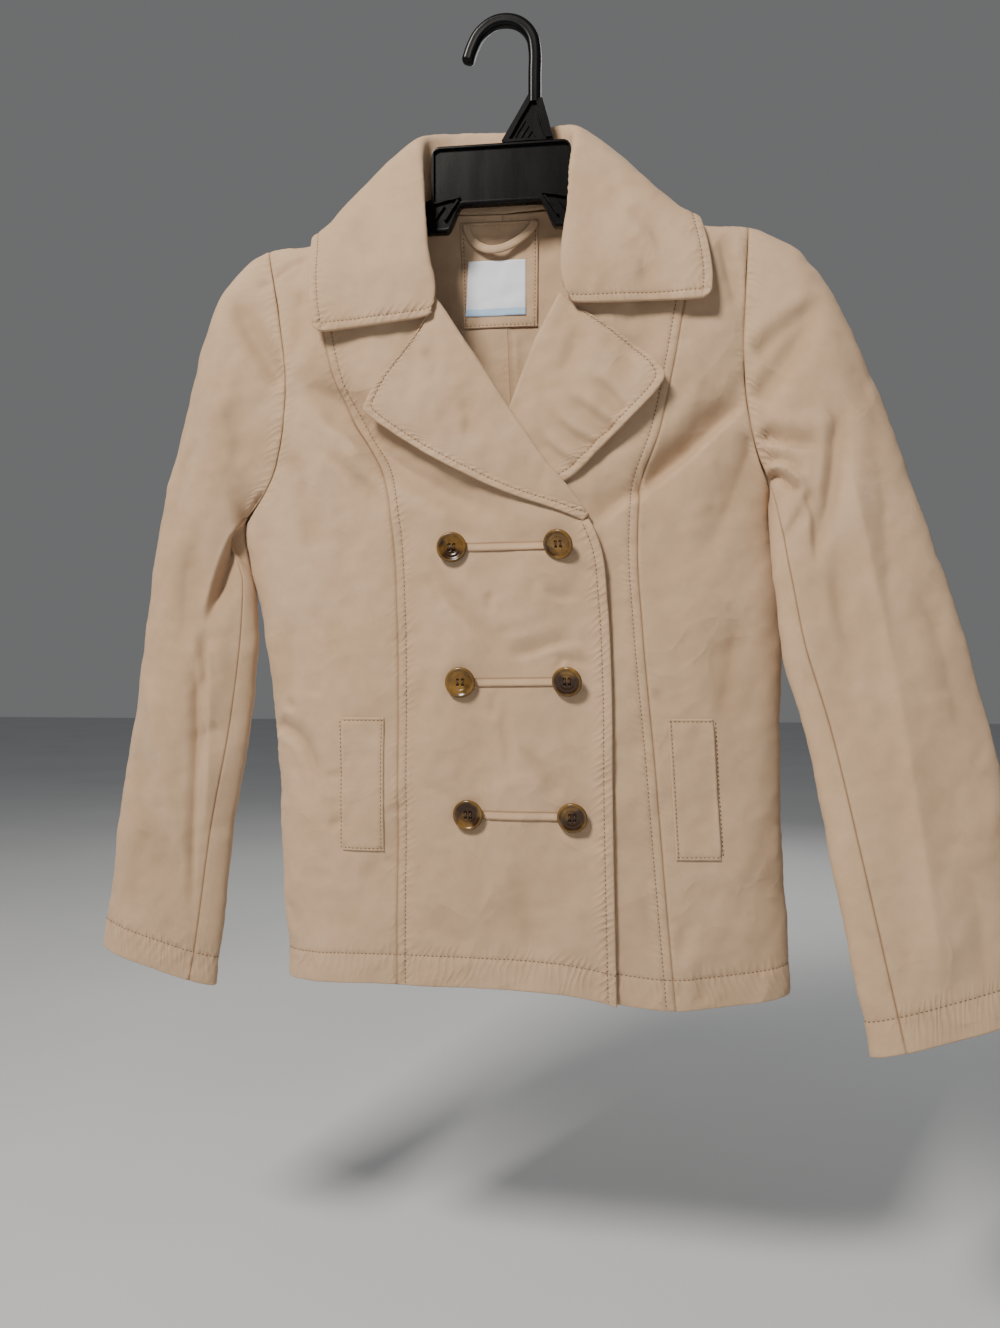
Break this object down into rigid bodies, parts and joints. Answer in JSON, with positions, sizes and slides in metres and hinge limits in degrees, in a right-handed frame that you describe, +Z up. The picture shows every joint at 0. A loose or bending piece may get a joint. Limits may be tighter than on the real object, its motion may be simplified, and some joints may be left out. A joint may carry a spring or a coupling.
{
  "type": "pea coat on a hanger",
  "caption": "Short double-breasted pea coat in khaki cotton twill with notched collar, princess seams and welt pockets, buttoned on a black moulded plastic hanger.",
  "frame": {"origin": "inner top of the hanger's hook, where it rests on a rail", "axes": "+Z up, -Y the coat's front, +X the wearer's left"},
  "size_m": [0.71, 0.1368, 0.7894],
  "materials": {
    "twill": "matt cotton twill with a fine diagonal weave, topstitched seams",
    "label": "matt woven label, bare, with a pale blue lower band",
    "button_horn": "glossy mottled tortoiseshell resin, amber with dark brown patches",
    "hanger_plastic": "semi-gloss injection-moulded black polystyrene"
  },
  "bodies": {
    "root": {"back_left": "twill", "back_neck_patch": "twill", "back_right": "twill", "band_bottom": "twill", "band_middle": "twill", "band_top": "twill", "button_left_bottom": "button_horn", "button_left_middle": "button_horn", "button_left_top": "button_horn", "button_right_bottom": "button_horn", "button_right_middle": "button_horn", "button_right_top": "button_horn", "collar": "twill", "front_left_center": "twill", "front_left_side": "twill", "front_right_center": "twill", "front_right_side": "twill", "hanger_body": "hanger_plastic", "hanger_hook": "hanger_plastic", "hanger_loop": "twill", "lapel_left": "twill", "lapel_right": "twill", "neck_label": "label", "sleeve_left_under": "twill", "sleeve_left_upper": "twill", "sleeve_right_under": "twill", "sleeve_right_upper": "twill", "welt_left": "twill", "welt_right": "twill"}
  },
  "joints": []
}
